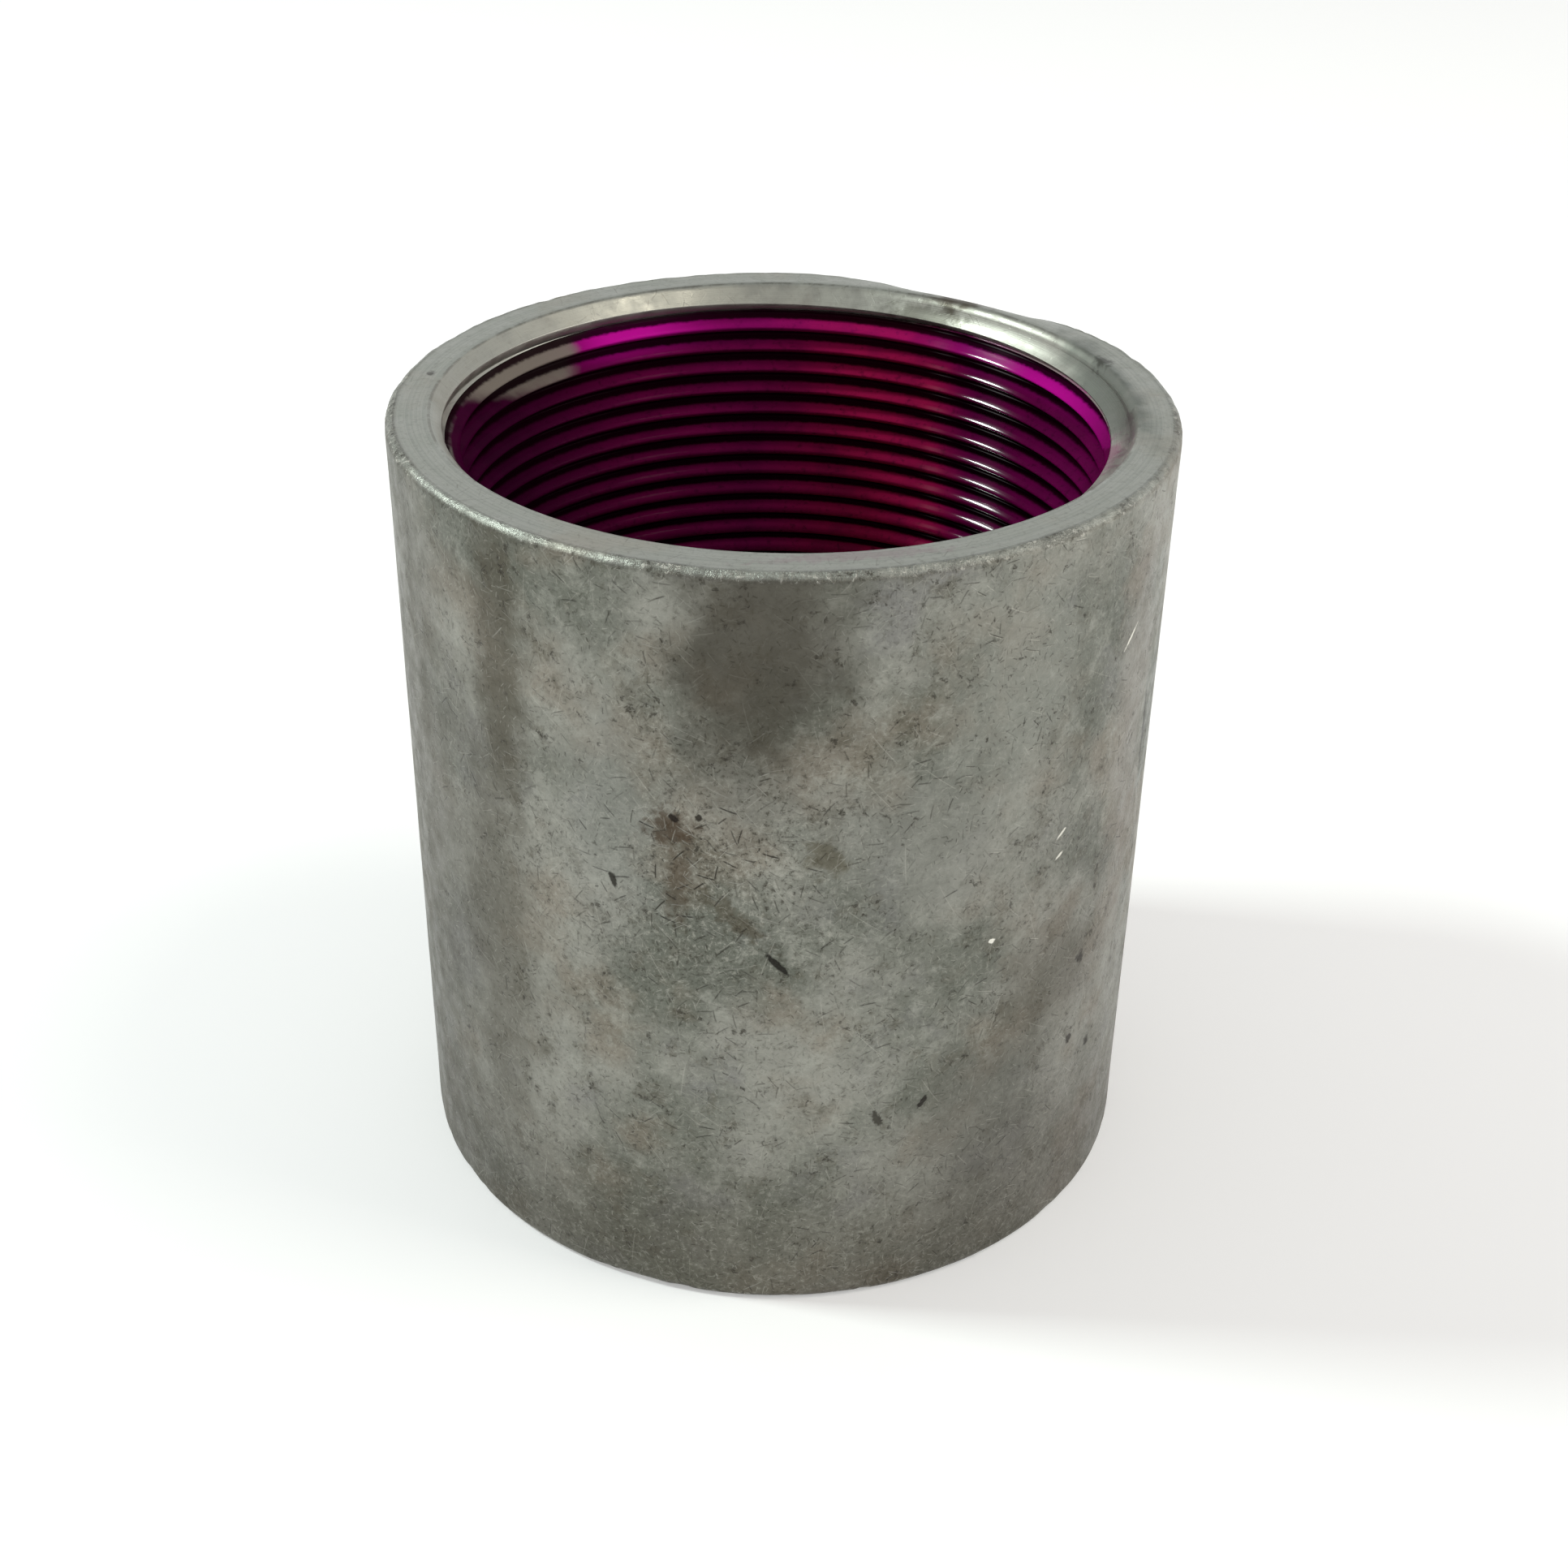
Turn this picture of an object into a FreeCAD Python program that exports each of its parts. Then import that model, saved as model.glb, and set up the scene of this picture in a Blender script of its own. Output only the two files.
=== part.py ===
import FreeCAD, Part
import math
import os

# A threaded steel pipe coupling for nominal 3 inch (DN 80) pipe, in millimetres.
# The axis is Z. The origin is at the middle of the lower end face, and the coupling stands on it.
# Both ends carry the same right-hand taper thread, which narrows from the mouth towards mid-length.

INCH = 25.4

# sleeve
OUTER_DIAMETER = 4.0 * INCH
LENGTH = 4.25 * INCH
BORE_DIAMETER = 3.25 * INCH
EDGE_ROUND = 1.2
COUNTERSINK_DIAMETER = 90.4

# taper pipe thread
PITCH = INCH / 8.0
CONE_SLOPE = 1.0 / 32.0
THREAD_HEIGHT = 0.8 * PITCH
MOUTH_PITCH_DIAMETER = 86.068
FLANK_ANGLE = math.radians(30.0)
ROOT_FLAT = 0.12
THREADED_LENGTH = 2.0 * INCH
THREAD_START_ANGLE = 175.0

# dyed coat that lies on each thread
COAT_THICKNESS = 0.25
COAT_BELOW_COUNTERSINK = 0.2

# construction values
TURNS_CUT = 17.5
CLEAR_OF_NEXT_TURN = 0.04
TOOL_DEPTH_INTO_BORE = 0.8
CONE_TOOL_BELOW = 2.0
CONE_TOOL_ABOVE = 1.0

OUTER_RADIUS = OUTER_DIAMETER / 2.0
BORE_RADIUS = BORE_DIAMETER / 2.0
COUNTERSINK_RADIUS = COUNTERSINK_DIAMETER / 2.0
COUNTERSINK_DEPTH = COUNTERSINK_RADIUS - BORE_RADIUS
ROOT_RADIUS_AT_MOUTH = (MOUTH_PITCH_DIAMETER + THREAD_HEIGHT) / 2.0
ROOT_RADIUS_AT_DEEP_END = ROOT_RADIUS_AT_MOUTH - THREADED_LENGTH * CONE_SLOPE
GROOVE_HALF_WIDTH = PITCH / 2.0 - CLEAR_OF_NEXT_TURN
KNEE_RADIUS = ROOT_RADIUS_AT_DEEP_END - (GROOVE_HALF_WIDTH - ROOT_FLAT / 2.0) / math.tan(FLANK_ANGLE)

AXIS_POINT = FreeCAD.Vector(0, 0, 0)
AXIS = FreeCAD.Vector(0, 0, 1)


def point(radius, height):
    return FreeCAD.Vector(radius, 0, height)


def turned_over(shape):
    """The same shape at the other end of the coupling. Turning keeps the hand of a thread."""
    other = shape.copy()
    other.rotate(FreeCAD.Vector(0, 0, LENGTH / 2.0), FreeCAD.Vector(1, 0, 0), 180)
    return other


def single_solid(shape):
    solids = shape.Solids
    if len(solids) != 1:
        raise ValueError("expected one solid, found %d" % len(solids))
    return solids[0]


def plain_sleeve():
    """The bored tube: outer wall with a rounded edge at each flat end face."""
    inset = EDGE_ROUND * (1.0 - math.sqrt(0.5))
    face_edge = OUTER_RADIUS - EDGE_ROUND
    wall_top = LENGTH - EDGE_ROUND
    lower_edge = Part.Arc(
        point(face_edge, 0),
        point(OUTER_RADIUS - inset, inset),
        point(OUTER_RADIUS, EDGE_ROUND),
    )
    upper_edge = Part.Arc(
        point(OUTER_RADIUS, wall_top),
        point(OUTER_RADIUS - inset, LENGTH - inset),
        point(face_edge, LENGTH),
    )
    outline = [
        Part.makeLine(point(BORE_RADIUS, 0), point(face_edge, 0)),
        lower_edge.toShape(),
        Part.makeLine(point(OUTER_RADIUS, EDGE_ROUND), point(OUTER_RADIUS, wall_top)),
        upper_edge.toShape(),
        Part.makeLine(point(face_edge, LENGTH), point(BORE_RADIUS, LENGTH)),
        Part.makeLine(point(BORE_RADIUS, LENGTH), point(BORE_RADIUS, 0)),
    ]
    return Part.Face(Part.Wire(outline)).revolve(AXIS_POINT, AXIS, 360)


def upper_countersink():
    """The 45 degree cone of the upper mouth, as a cutting body."""
    small_radius = BORE_RADIUS - CONE_TOOL_BELOW
    large_radius = COUNTERSINK_RADIUS + CONE_TOOL_ABOVE
    base = LENGTH - COUNTERSINK_DEPTH - CONE_TOOL_BELOW
    return Part.makeCone(small_radius, large_radius, large_radius - small_radius, point(0, base), AXIS)


def swept_along_upper_thread(corners):
    """The closed section with these corners, carried along the upper thread's conical helix.

    The helix runs in the root of the thread, from its deep end to past the mouth.
    """
    cone_angle = math.degrees(math.atan(CONE_SLOPE))
    path = Part.makeHelix(PITCH, TURNS_CUT * PITCH, ROOT_RADIUS_AT_DEEP_END, cone_angle)
    sweep = Part.BRepOffsetAPI.MakePipeShell(Part.Wire(path.Edges))
    sweep.setBiNormalMode(AXIS)
    sweep.add(Part.makePolygon(corners + [corners[0]]), False, False)
    sweep.build()
    sweep.makeSolid()
    swept = sweep.shape()
    swept.rotate(AXIS_POINT, AXIS, THREAD_START_ANGLE)
    swept.translate(point(0, LENGTH - THREADED_LENGTH))
    return swept


def upper_groove():
    """The upper thread's helical V groove as a cutting body."""
    root = ROOT_RADIUS_AT_DEEP_END
    inner = KNEE_RADIUS - TOOL_DEPTH_INTO_BORE
    corners = [
        point(root, -ROOT_FLAT / 2.0),
        point(root, ROOT_FLAT / 2.0),
        point(KNEE_RADIUS, GROOVE_HALF_WIDTH),
        point(inner, GROOVE_HALF_WIDTH),
        point(inner, -GROOVE_HALF_WIDTH),
        point(KNEE_RADIUS, -GROOVE_HALF_WIDTH),
    ]
    return swept_along_upper_thread(corners)


def coupling_body():
    groove = upper_groove()
    countersink = upper_countersink()
    body = plain_sleeve()
    for cutter in (groove, turned_over(groove), countersink, turned_over(countersink)):
        body = body.cut(cutter)
    return single_solid(body)


def upper_thread_coat():
    """A thin coat on the flanks and root of the upper groove, flush with the thread's crests."""
    root = ROOT_RADIUS_AT_DEEP_END
    coat_half_width = GROOVE_HALF_WIDTH - COAT_THICKNESS * math.tan(FLANK_ANGLE)
    corners = [
        point(KNEE_RADIUS, -GROOVE_HALF_WIDTH),
        point(root, -ROOT_FLAT / 2.0),
        point(root, ROOT_FLAT / 2.0),
        point(KNEE_RADIUS, GROOVE_HALF_WIDTH),
        point(KNEE_RADIUS, coat_half_width),
        point(root - COAT_THICKNESS, ROOT_FLAT / 2.0),
        point(root - COAT_THICKNESS, -ROOT_FLAT / 2.0),
        point(KNEE_RADIUS, -coat_half_width),
    ]
    bottom = LENGTH - THREADED_LENGTH - PITCH
    top = LENGTH - COUNTERSINK_DEPTH - COAT_BELOW_COUNTERSINK
    wall = Part.makeCylinder(OUTER_RADIUS, top - bottom, point(0, bottom), AXIS)
    wall = wall.cut(Part.makeCylinder(BORE_RADIUS, LENGTH))
    return single_solid(swept_along_upper_thread(corners).common(wall))


def main():
    upper_coat = upper_thread_coat()
    nodes = {
        "coupling_body": coupling_body(),
        "upper_thread_coat": upper_coat,
        "lower_thread_coat": turned_over(upper_coat),
    }
    os.makedirs("parts", exist_ok=True)
    for name, shape in nodes.items():
        shape.exportStep("parts/" + name + ".step")
        print(name, shape.isValid(), len(shape.Faces), round(shape.Volume, 1))


main()
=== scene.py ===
import math
import random

import bmesh
import bpy
import numpy as np
from mathutils import Matrix, Vector, noise


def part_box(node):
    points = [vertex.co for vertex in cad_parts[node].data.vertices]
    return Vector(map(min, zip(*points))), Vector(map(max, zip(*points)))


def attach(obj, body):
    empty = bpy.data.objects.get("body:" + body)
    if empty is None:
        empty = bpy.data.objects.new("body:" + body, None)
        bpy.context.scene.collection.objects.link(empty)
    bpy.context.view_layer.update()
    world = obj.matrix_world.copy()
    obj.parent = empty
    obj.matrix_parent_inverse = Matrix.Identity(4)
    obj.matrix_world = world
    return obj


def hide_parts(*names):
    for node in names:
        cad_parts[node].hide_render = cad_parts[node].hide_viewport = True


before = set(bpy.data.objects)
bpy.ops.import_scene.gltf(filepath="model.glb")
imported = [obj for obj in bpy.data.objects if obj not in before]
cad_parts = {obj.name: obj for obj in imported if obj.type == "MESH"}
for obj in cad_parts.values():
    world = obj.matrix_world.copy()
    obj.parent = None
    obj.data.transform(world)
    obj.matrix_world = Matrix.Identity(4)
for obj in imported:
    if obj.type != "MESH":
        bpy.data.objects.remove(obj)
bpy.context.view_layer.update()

# ---------------------------------------------------------------- sizes, in millimetres
MM = 0.001
OUTER_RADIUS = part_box("coupling_body")[1].x / MM
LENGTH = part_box("coupling_body")[1].z / MM
BORE_RADIUS = 41.275
COUNTERSINK_RADIUS = 45.2
EDGE_ROUND = 1.2

PITCH = 3.175
CONE_SLOPE = 1.0 / 32.0
ROOT_RADIUS_AT_MOUTH = 44.304
ROOT_FLAT = 0.12
THREADED_LENGTH = 50.8
THREAD_START = math.radians(175.0)
THREAD_BOTTOM = LENGTH - THREADED_LENGTH
THREAD_TURNS = range(-2, 19)
FLANK_TANGENT = math.tan(math.radians(30.0))
FADE_OUT = 0.75 * PITCH
FADED_ROOT_RADIUS = BORE_RADIUS - 0.5
CONE_BOTTOM = LENGTH - (COUNTERSINK_RADIUS - BORE_RADIUS)
SHARP = 0.02

# the film's ends, and how far the steel lies back under it so that no crest shows through
FILM_ABOVE_CONE_BOTTOM = 0.35
FILM_TOP = CONE_BOTTOM + FILM_ABOVE_CONE_BOTTOM
FILM_BOTTOM = THREAD_BOTTOM - 0.6 * PITCH
STEEL_BEHIND_FILM = 0.15

# a dent and chips in the upper rim, and chips in the lower one
DENT_ANGLE = math.radians(57.0)
DENT_HALF_ANGLE = 0.28
DENT_DEPTH = 2.0
DENT_INNER_RADIUS = 46.0
DENT_FULL_RADIUS = 50.5
DENT_HEIGHT = 9.0
CHIP_REACH_DOWN = 1.0
CHIP_REACH_IN = 1.3

BODY_STEPS = 420
COAT_STEPS = 400
TAU = 2.0 * math.pi


# ---------------------------------------------------------------- thread geometry
def smoothstep(low, high, x):
    t = np.clip((x - low) / (high - low), 0.0, 1.0)
    return t * t * (3.0 - 2.0 * t)


def bell(x, width):
    """1 at zero, falling to 1/e at the width on either side."""
    return np.exp(-((x / width) ** 2))


def soft_max(a, b, blend):
    """The larger of two surfaces, with the edge between them rounded over the blend distance."""
    h = np.clip(0.5 + 0.5 * (a - b) / blend, 0.0, 1.0)
    return b * (1.0 - h) + a * h + blend * h * (1.0 - h)


def root_height(theta, turn):
    """Height of the upper groove's root at an angle, after that many turns from its deep end."""
    return THREAD_BOTTOM + PITCH * ((theta - THREAD_START) / TAU + turn)


def groove_offset(theta, z):
    """Distance along the axis from the nearest root of the upper groove, and that root's height."""
    turn = np.round((z - root_height(theta, 0.0)) / PITCH)
    height = root_height(theta, turn)
    return z - height, height


def root_radius(z):
    return ROOT_RADIUS_AT_MOUTH - (LENGTH - z) * CONE_SLOPE


def faded_root_radius(height):
    """The root's radius, which sinks below the blank bore where the thread runs out."""
    fade = smoothstep(THREAD_BOTTOM - FADE_OUT, THREAD_BOTTOM + FADE_OUT, height)
    return FADED_ROOT_RADIUS + (root_radius(height) - FADED_ROOT_RADIUS) * fade


def groove_radius(theta, z):
    """The V groove's wall radius: less than the blank bore's where the thread has run out."""
    offset, height = groove_offset(theta, z)
    half_flat = ROOT_FLAT / 2.0
    return faded_root_radius(height) - np.maximum(np.abs(offset) - half_flat, 0.0) / FLANK_TANGENT


def countersink_radius(z):
    return COUNTERSINK_RADIUS - (LENGTH - z)


def upper_bore_radius(theta, z, blend):
    """Radius of the upper half of the bore, with crests and the mouth rounded over the blend."""
    wall = soft_max(groove_radius(theta, z), np.full_like(z, BORE_RADIUS), blend)
    return soft_max(wall, countersink_radius(z), blend)


def crest_edge(z):
    """Half the groove's width where it meets the blank bore, short of the middle of the crest."""
    edge = ROOT_FLAT / 2.0 + (root_radius(z) - BORE_RADIUS) * FLANK_TANGENT
    return np.minimum(edge, PITCH / 2.0 - 0.05)


# ---------------------------------------------------------------- mesh building
def grid_faces(rows, columns):
    """Quads of a grid of vertices that is stored row by row."""
    r, c = np.meshgrid(np.arange(rows - 1), np.arange(columns - 1), indexing="ij")
    a = r * columns + c
    return np.stack([a, a + columns, a + columns + 1, a + 1], axis=-1).reshape(-1, 4)


def polar(radius, theta, z):
    return np.stack([radius * np.cos(theta), radius * np.sin(theta), z], axis=-1).reshape(-1, 3)


def turned_over(points):
    """The same points at the other end of the coupling. Turning keeps the hand of the thread."""
    return points * np.array([1.0, -1.0, -1.0]) + np.array([0.0, 0.0, LENGTH])


def weld(name, patches):
    """One mesh object from (points in mm, quads) patches, with their shared borders joined."""
    points, faces, base = [], [], 0
    for patch_points, patch_faces in patches:
        points.append(patch_points)
        faces.append(patch_faces + base)
        base += len(patch_points)
    mesh = bpy.data.meshes.new(name)
    mesh.from_pydata((np.vstack(points) * MM).tolist(), [], np.vstack(faces).tolist())
    work = bmesh.new()
    work.from_mesh(mesh)
    bmesh.ops.remove_doubles(work, verts=work.verts, dist=2e-7)
    bmesh.ops.dissolve_degenerate(work, edges=work.edges, dist=1e-7)
    work.to_mesh(mesh)
    work.free()
    mesh.validate()
    made = bpy.data.objects.new(name, mesh)
    bpy.context.scene.collection.objects.link(made)
    mesh.shade_smooth()
    return made


def helical_rows(offsets, low, high, steps):
    """Angles and heights of a grid whose rows follow the upper thread, held between two heights."""
    theta = np.linspace(0.0, TAU, steps + 1)
    rows = []
    for turn in THREAD_TURNS:
        for offset in offsets:
            height = root_height(theta, turn)
            rows.append(height + offset(height))
    z = np.clip(np.array(rows), low, high)
    return np.broadcast_to(theta, z.shape), z


# ---------------------------------------------------------------- the steel body
def body_profile_rows():
    """(radius, height) of the outer surface, from the upper countersink over the wall to the lower."""
    rows = []
    face_edge = OUTER_RADIUS - EDGE_ROUND
    for radius in np.linspace(COUNTERSINK_RADIUS, face_edge, 9):
        rows.append((radius, LENGTH))
    for angle in np.linspace(90.0, 0.0, 9)[1:]:
        a = math.radians(angle)
        rows.append((face_edge + EDGE_ROUND * math.cos(a), LENGTH - EDGE_ROUND * (1.0 - math.sin(a))))
    wall = [LENGTH - EDGE_ROUND - 0.5, LENGTH - EDGE_ROUND - 1.1, LENGTH - EDGE_ROUND - 1.9]
    wall += list(np.linspace(LENGTH - EDGE_ROUND - 3.0, EDGE_ROUND + 3.0, 40))
    wall += [EDGE_ROUND + 1.6, EDGE_ROUND + 0.7]
    rows += [(OUTER_RADIUS, z) for z in wall]
    for angle in np.linspace(0.0, -90.0, 7):
        a = math.radians(angle)
        rows.append((face_edge + EDGE_ROUND * math.cos(a), EDGE_ROUND * (1.0 + math.sin(a))))
    for radius in np.linspace(face_edge, COUNTERSINK_RADIUS, 5)[1:]:
        rows.append((radius, 0.0))
    return np.array(rows)


class Bumps:
    """A repeatable sum of rounded bumps around the rim, as a function of the angle."""

    def __init__(self, seed, count, width, depth):
        draw = random.Random(seed)
        self.items = []
        for _ in range(count):
            centre = draw.uniform(-math.pi, math.pi)
            self.items.append((centre, draw.uniform(*width) / OUTER_RADIUS, draw.uniform(*depth)))

    def __call__(self, theta):
        total = np.zeros_like(theta)
        for centre, width, depth in self.items:
            away = (theta - centre + math.pi) % TAU - math.pi
            total = np.maximum(total, depth * bell(away, width))
        return total


def outer_patch():
    rows = body_profile_rows()
    theta = np.linspace(0.0, TAU, BODY_STEPS + 1)
    radius = np.repeat(rows[:, :1], BODY_STEPS + 1, axis=1)
    z = np.repeat(rows[:, 1:], BODY_STEPS + 1, axis=1)
    angle = np.broadcast_to(theta, z.shape)
    near_edge = bell(OUTER_RADIUS - radius, CHIP_REACH_IN)
    chips = Bumps(3, 60, (0.7, 2.2), (0.02, 0.16))(angle) + Bumps(5, 200, (0.6, 1.0), (0.02, 0.13))(angle)
    chips = chips * bell(LENGTH - z, CHIP_REACH_DOWN) * near_edge
    low_chips = Bumps(11, 70, (0.5, 2.5), (0.05, 0.35))(angle) * bell(z, CHIP_REACH_DOWN) * near_edge
    radius = radius - 0.75 * (chips + low_chips)
    dent = DENT_DEPTH * bell(angle - DENT_ANGLE, DENT_HALF_ANGLE)
    dent = dent * smoothstep(DENT_INNER_RADIUS, DENT_FULL_RADIUS, radius)
    dent = dent * smoothstep(LENGTH - DENT_HEIGHT, LENGTH, z)
    z = z - dent - 0.75 * chips + 0.4 * low_chips
    radius[:, -1] = radius[:, 0]
    z[:, -1] = z[:, 0]
    return waved(polar(radius, angle, z)), grid_faces(len(rows), BODY_STEPS + 1)


def waved(points):
    """The wall's slight waviness: it only ever goes inwards from the turned size."""
    out = points.copy()
    for i, (x, y, z) in enumerate(points):
        radius = math.hypot(x, y)
        if radius > OUTER_RADIUS - 1.0 and 2.0 < z < LENGTH - 2.0:
            p = Vector((x, y, z))
            depth = 0.05 + 0.05 * noise.noise(p * 0.045) + 0.02 * noise.noise(p * 0.19)
            depth *= min(1.0, (z - 2.0) / 4.0, (LENGTH - 2.0 - z) / 4.0)
            out[i, 0] = x * (1.0 - depth / radius)
            out[i, 1] = y * (1.0 - depth / radius)
    return out


def bore_patch():
    offsets = [
        lambda z: -crest_edge(z),
        lambda z: np.full_like(z, -ROOT_FLAT / 2.0),
        lambda z: np.full_like(z, ROOT_FLAT / 2.0),
        lambda z: crest_edge(z),
    ]
    theta, z = helical_rows(offsets, LENGTH / 2.0, LENGTH, BODY_STEPS)
    covered = smoothstep(FILM_BOTTOM + 0.3, FILM_BOTTOM + 1.5, z) * smoothstep(FILM_TOP, FILM_TOP - 0.6, z)
    radius = upper_bore_radius(theta, z, SHARP) + STEEL_BEHIND_FILM * covered
    return polar(radius, theta, z), grid_faces(len(z), BODY_STEPS + 1)


def make_body():
    upper, faces = bore_patch()
    patches = [outer_patch(), (upper, faces), (turned_over(upper), faces)]
    return weld("coupling_body_metal", patches)


# ---------------------------------------------------------------- the dyed film on the threads
CREST_BLEND = 0.75
CREST_WEAR = 0.09
ROOT_POOL = 0.16
CONE_BLEND = 0.1
FILM = 0.10
LEAST_FILM = 0.05
FILM_BACK = 0.45

# rows of the film's mesh across one pitch, as shares of it
FILM_ROWS = np.array([-0.47, -0.38, -0.29, -0.19, -0.08, 0.0, 0.08, 0.19, 0.29, 0.38, 0.47])
BACK_ROWS = np.array([-0.48, -0.02, 0.02, 0.48])


def film_radius(theta, z):
    """The film's inner surface: rounded on the crests and pooled in the roots."""
    offset, height = groove_offset(theta, z)
    from_crest = PITCH / 2.0 - np.abs(offset)
    out = PITCH / 2.0 - np.sqrt(from_crest ** 2 + CREST_WEAR ** 2)
    out = np.sqrt(np.maximum(out, 0.0) ** 2 + ROOT_POOL ** 2)
    groove = faded_root_radius(height) - out / FLANK_TANGENT
    wall = soft_max(groove, np.full_like(z, BORE_RADIUS), CREST_BLEND)
    wall = soft_max(wall, countersink_radius(z), CONE_BLEND)
    return np.minimum(wall - FILM, upper_bore_radius(theta, z, SHARP) - LEAST_FILM)


def film_piece(name, flip_over):
    front = [lambda z, f=f: np.full_like(z, f * PITCH) for f in FILM_ROWS]
    back = [lambda z, f=f: np.full_like(z, f * PITCH) for f in BACK_ROWS]
    theta, z = helical_rows(front, FILM_BOTTOM, FILM_TOP, COAT_STEPS)
    front_points = polar(film_radius(theta, z), theta, z)
    front_rows = len(z)
    theta, z = helical_rows(back, FILM_BOTTOM, FILM_TOP, COAT_STEPS)
    back_points = polar(np.maximum(groove_radius(theta, z), BORE_RADIUS) + FILM_BACK, theta, z)
    back_rows = len(z)
    patches = [
        (front_points, grid_faces(front_rows, COAT_STEPS + 1)),
        (back_points, grid_faces(back_rows, COAT_STEPS + 1)[:, ::-1]),
    ]
    strip = grid_faces(2, COAT_STEPS + 1)
    for row, faces in ((0, strip[:, ::-1]), (-1, strip)):
        front_edge = front_points.reshape(front_rows, -1, 3)[row]
        back_edge = back_points.reshape(back_rows, -1, 3)[row]
        patches.append((np.vstack([front_edge, back_edge]), faces))
    if flip_over:
        patches = [(turned_over(points), faces) for points, faces in patches]
    made = weld(name, patches)
    mark_film(made, flip_over)
    return made


def mark_film(piece, flip_over):
    """Stores on each point, as values from 0 to 1, where the film is dark in the root, painted bright as a
    reflection, worn or wet.
    """
    points = np.array([v.co for v in piece.data.vertices]) / MM
    if flip_over:
        points = turned_over(points)
    x, y, z = points.T
    theta = np.arctan2(y, x) % TAU
    degrees = np.degrees(theta)
    below_face = LENGTH - z

    def store(name, values):
        attribute = piece.data.attributes.new(name, "FLOAT", "POINT")
        attribute.data.foreach_set("value", np.clip(values, 0.0, 1.0).astype(np.float32))

    # 0 on a crest and 1 in the root
    offset, height = groove_offset(theta, z)
    store("groove_depth", 1.0 - np.clip(np.abs(offset) / crest_edge(height), 0.0, 1.0))

    # painted reflection: the first turn is painted bright magenta at the back left and at the right, where
    # it catches the light
    first_turn = smoothstep(9.0, 5.6, below_face)
    lit = 0.12 * smoothstep(2.6, 2.2, theta) + bell(theta - math.radians(122.0), 0.22)
    lit += 0.7 * bell(theta - math.radians(30.0), 0.35)
    store("mouth_painted_gleam", first_turn * lit)

    # the film is worn off at the left of the mouth
    from_right = smoothstep(131.0, 138.0, degrees)
    from_left = smoothstep(178.0, 160.0, degrees + 4.0 * (below_face - 4.0))
    from_below = smoothstep(11.0, 6.5, below_face)
    store("worn_patch", from_right * from_left * from_below)

    # the lip that lies on the countersink
    store("above_thread", smoothstep(0.0, FILM_ABOVE_CONE_BOTTOM, z - CONE_BOTTOM))

    # two runs of thicker, wetter film
    store("wet_streak", bell(degrees - 45.0, 4.5) + 0.3 * bell(degrees - 58.0, 2.0))


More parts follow.
